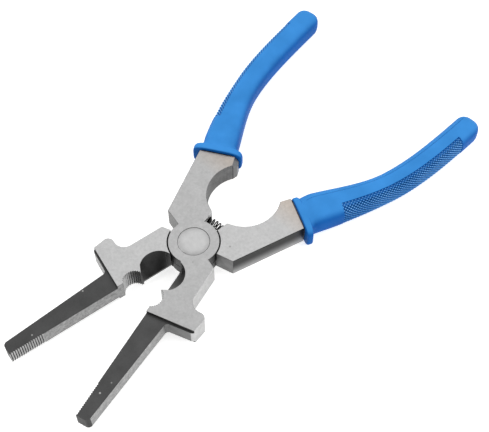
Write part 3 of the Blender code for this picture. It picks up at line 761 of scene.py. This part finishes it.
def buildRivet():
    # riveted over and ground flush: the rim is a hair low, which draws the thin ring
    head, shank, deep, edge = rivet["head"], rivet["shank"], rivet["headDeep"], rivet["edge"]
    rim = [(head - edge, 0.0), (head - edge * 0.3, edge * 0.3), (head, edge)]
    profile = [(0, 0), (head * 0.5, 0)] + rim + [(head, deep), (shank, deep)]
    profile += [(radius, thickness - height) for radius, height in profile[::-1]]
    steel = chromeVanadium("groundRivetSteel", {
        "grain": 0.5, "blotch": 3.2, "contrast": 0.035, "rough": 0.40, "relief": 0.14,
        "dark": "#aeaeae", "light": "#bcbcbc"})
    item = toObject("pivotRivet", turnedSolid("pivotRivet", profile, 0, 128), [steel])
    crispAt(item, 28)
    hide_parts("pivot_rivet")
    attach(item, "lower_half")
    print("pivotRivet", len(item.data.polygons), "faces")


def softRing(width, depth, square, count):
    # rounded square with evenly spaced points, starting at the middle of the outer side
    fine, fineSteps = [], 1440
    for i in range(fineSteps):
        turn = math.pi + 2 * math.pi * i / fineSteps
        c, s = math.cos(turn), math.sin(turn)
        fine.append(Vector((math.copysign(abs(c) ** (2 / square), c) * width / 2,
                            math.copysign(abs(s) ** (2 / square), s) * depth / 2)))
    lengths = [0.0]
    for p, q in zip(fine, fine[1:] + fine[:1]):
        lengths.append(lengths[-1] + (q - p).length)
    ring, k = [], 0
    for i in range(count):
        want = lengths[-1] * i / count
        while lengths[k + 1] < want:
            k += 1
        share = (want - lengths[k]) / (lengths[k + 1] - lengths[k])
        ring.append(fine[k].lerp(fine[(k + 1) % len(fine)], share))
    return ring


def gripStation(side, length, total):
    # (width, depth, rise, shift outwards, squareness) of the outside at a length from the collar
    g = grip
    r, lip = g["lipRound"], g["lipLength"]
    if length <= lip:
        # the lip is a flange with a rounded front, and rounded at the back where it stands proud
        def short(near):
            return r - math.sqrt(max(0.0, r * r - max(0.0, r - near) ** 2))
        front = length - g["gap"]
        width = g["lipWidth"][side] - 2 * short(min(front, lip - length))
        depth = g["lipDepth"] - 2 * short(front)
        return width, depth, g["lipRise"], g["lipShift"][side], g["lipSquare"]
    share = min(1.0, (length - lip) / (g["taper"] - lip))
    ease = share * share * (3 - 2 * share)
    width = g["rootWidth"] + (g["width"] - g["rootWidth"]) * ease
    depth = g["rootDepth"] + (g["depth"] - g["rootDepth"]) * ease
    rise = g["rootRise"] * (1 - share)
    shift = 0.0
    fillet = g["rootFillet"]
    if length < lip + fillet:
        # the flange runs into the body through a small hollow
        t = 1 - math.sqrt(max(0.0, 1 - (1 - (length - lip) / fillet) ** 2))
        width += (g["lipWidth"][side] - 2 * r - width) * t * g["lipBlend"]
        shift = g["lipShift"][side] * t * g["lipBlend"]
    if length < lip + g["shoulder"]:
        # and its top swells gently to the body's
        t = 1 - (length - lip) / g["shoulder"]
        t = t * t * (3 - 2 * t)
        depth += (g["lipDepth"] - depth) * t
        rise += (g["lipRise"] - rise) * t
    left = total - length
    if left < g["width"] / 2:
        shrink = math.sqrt(max(0.0, 1 - (1 - left / (g["width"] / 2)) ** 2))
        width, depth = width * shrink, depth * shrink
    return width, depth, rise, shift, g["square"]


def fromMiddle(index):
    # ring points away from the middle of the outer side, less than 0 on one side of it
    half = grip["around"] // 2
    return (index + half) % grip["around"] - half


def knurled(side, length, index):
    reach = grip["knurlHalf"][side]
    return grip["knurlFrom"] <= length <= grip["knurlTo"] and abs(fromMiddle(index)) <= reach


def knurlRidge(side, length, index):
    # pyramids in a diamond lattice on the outer side, 0 at a tip and 1 in a valley
    if not knurled(side, length, index):
        return 0.0
    u = (length - grip["knurlFrom"]) / grip["knurlPitch"]
    v = fromMiddle(index) / grip["knurlSteps"]
    a, b = u + v, u - v
    return max(abs(a - round(a)), abs(b - round(b))) * 2


def partingDepth(side, length, index):
    # fine groove where the mould halves meet, towards the inner side; both sleeves come from one
    # mould, so it is on top of the lower lever's and underneath the upper lever's
    g = grip
    near = abs(fromMiddle(index) - side * g["partingAt"])
    if near > 1 or length < g["lipLength"] + g["rootFillet"]:
        return 0.0
    return g["partingDepth"] * (g["partingSide"] if near else 1.0)


def gripLengths(total):
    g = grip
    r = g["lipRound"]
    stations = [g["gap"] + r * (1 - math.cos(math.radians(t))) for t in range(0, 91, 18)]
    stations += [g["lipLength"] - r * (1 - math.cos(math.radians(t))) for t in range(90, -1, -18)]
    stations += [g["lipLength"] + g["rootFillet"] * t for t in (0.04, 0.15, 0.3, 0.5, 0.75, 1.0)]
    fine = g["knurlPitch"] / g["knurlSteps"]
    x = stations[-1] + g["ringStep"]
    while x < g["knurlFrom"] - 2 * fine:
        stations.append(x)
        x += g["ringStep"]
    count = round((g["knurlTo"] - g["knurlFrom"]) / fine)
    stations += [g["knurlFrom"] + fine * i for i in range(-1, count + 2)]
    x = stations[-1] + g["ringStep"]
    while x < total - g["width"] / 2:
        stations.append(x)
        x += g["ringStep"]
    stations += [total - g["width"] / 2 * (1 - math.sin(math.radians(t))) for t in range(0, 86, 5)]
    return stations


# one vinyl: its plain skin, a painted highlight on the knurl's tips, painted shade in the knurl's
# valleys, and painted shade in the mould's seam groove
vinylTones = {"mouldedBlueVinyl": ("#3886ce", "#4092de"), "knurlTipHighlightVinyl": ("#7ab4ee", "#9accf8"),
              "knurlValleyShadeVinyl": ("#0a3d78", "#0c488c"), "seamGrooveShadeVinyl": ("#0c4f95", "#105ca6")}
smooth, tipHighlight, valleyShade, seamShade = range(4)


def mouldedVinyl(name):
    # Moulded PVC: an even saturated blue with a satin skin that scatters nearly all of its shine,
    # fine orange peel at 0.6 mm, and patches a little darker where hands and oil have been
    made, tree, shader, spot = newMaterial(name)
    patch = addNode(tree, "TexNoise", sockets={"Vector": spot, "Scale": perMm(14), "Detail": 3.0})
    cloud = addNode(tree, "MapRange", sockets={
        "Value": patch.outputs["Fac"], "From Min": 0.35, "From Max": 0.65})
    tone = addNode(tree, "Mix", {"data_type": "RGBA"}, {
        0: cloud.outputs["Result"], 6: linear(vinylTones[name][0]), 7: linear(vinylTones[name][1])})
    # painted shade: the sides are multiplied darker and deeper blue the further their normals turn
    # from straight up, so the flat top reads lit
    facing = addNode(tree, "NewGeometry")
    way = addNode(tree, "SeparateXYZ", sockets={"Vector": facing.outputs["Normal"]})
    sideShadeAmount = addNode(tree, "MapRange", {"interpolation_type": "SMOOTHSTEP"}, {
        "Value": way.outputs["Z"], "From Min": 0.2, "From Max": 1.0, "To Min": 1.0, "To Max": 0.0})
    paintedSideShade = addNode(tree, "Mix", {"data_type": "RGBA", "blend_type": "MULTIPLY"}, {
        0: sideShadeAmount.outputs["Result"], 6: tone.outputs[2], 7: linear("#54a2c2")})
    tree.links.new(paintedSideShade.outputs[2], shader.inputs["Base Color"])
    peel = addNode(tree, "TexNoise", sockets={"Vector": spot, "Scale": perMm(0.6), "Detail": 2.0})
    relief = addNode(tree, "Bump", sockets={
        "Height": peel.outputs["Fac"], "Strength": 0.12, "Distance": 0.00006})
    tree.links.new(relief.outputs["Normal"], shader.inputs["Normal"])
    rough = addNode(tree, "MapRange", sockets={
        "Value": patch.outputs["Fac"], "To Min": 0.36, "To Max": 0.48})
    tree.links.new(rough.outputs["Result"], shader.inputs["Roughness"])
    shader.inputs["IOR"].default_value = 1.53
    shader.inputs["Specular IOR Level"].default_value = 0.03
    return made


def shadeKnurl(item, side, stations):
    # painted highlight on the knurl's tips, painted shade in its valleys and in the seam groove; the
    # skin's side faces come ring by ring
    g = grip
    for number, face in enumerate(item.data.polygons):
        row, i = divmod(number, g["around"])
        if row + 1 >= len(stations) or len(face.vertices) != 4:
            continue
        corners = [(side, stations[row + r], i + k) for r in (0, 1) for k in (0, 1)]
        if all(knurled(*corner) for corner in corners):
            depth = sum(knurlRidge(*corner) for corner in corners) / 4
            # the edge rows, which face up and down, get no painted shade
            unshaded = abs(fromMiddle(i)) > g["knurlHalf"][side] - g["unshadedRows"]
            if depth < g["highlightBelow"]:
                # painted highlight: the pale blue on the knurl's tips
                face.material_index = tipHighlight
            elif depth > g["shadeAbove"] and not unshaded:
                # painted shade: the dark blue in the knurl's valleys
                face.material_index = valleyShade
        elif partingDepth(*corners[0]) == g["partingDepth"]:
            # the seam groove's faces take the dark seam blue: painted shade in the groove
            face.material_index = seamShade


def buildGrip(which, side, line, vinyl):
    total = line[1][-1]
    rings = []
    for length in gripLengths(total):
        width, depth, rise, shift, square = gripStation(side, length, total)
        flat = softRing(width, depth, square, grip["around"])
        ring = []
        for i, point in enumerate(flat):
            after, before = flat[(i + 1) % len(flat)], flat[i - 1]
            normal = Vector((after.y - before.y, before.x - after.x)).normalized()
            ring.append(point - normal * (grip["knurlDepth"] * knurlRidge(side, length, i)
                                          + partingDepth(side, length, i)))
        rings.append(alongHandle(side, line, length, ring, rise, shift))
    item = toObject(which + "GripSleeve", skin(which + "GripSleeve", rings, smooth), vinyl)
    shadeKnurl(item, side, gripLengths(total))
    cut(item, skin("hollow", tangRings(side, line, grip["gap"], past), smooth))
    crispAt(item, 32)
    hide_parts(which + "_grip")
    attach(item, which + "_half")
    print(item.name, len(item.data.polygons), "faces")


upperLine = buildLever("upper", 1, False)
lowerLine = buildLever("lower", -1, True)
buildRivet()
buildSpring()
vinyls = [mouldedVinyl(name) for name in vinylTones]
buildGrip("upper", 1, upperLine, vinyls)
buildGrip("lower", -1, lowerLine, vinyls)
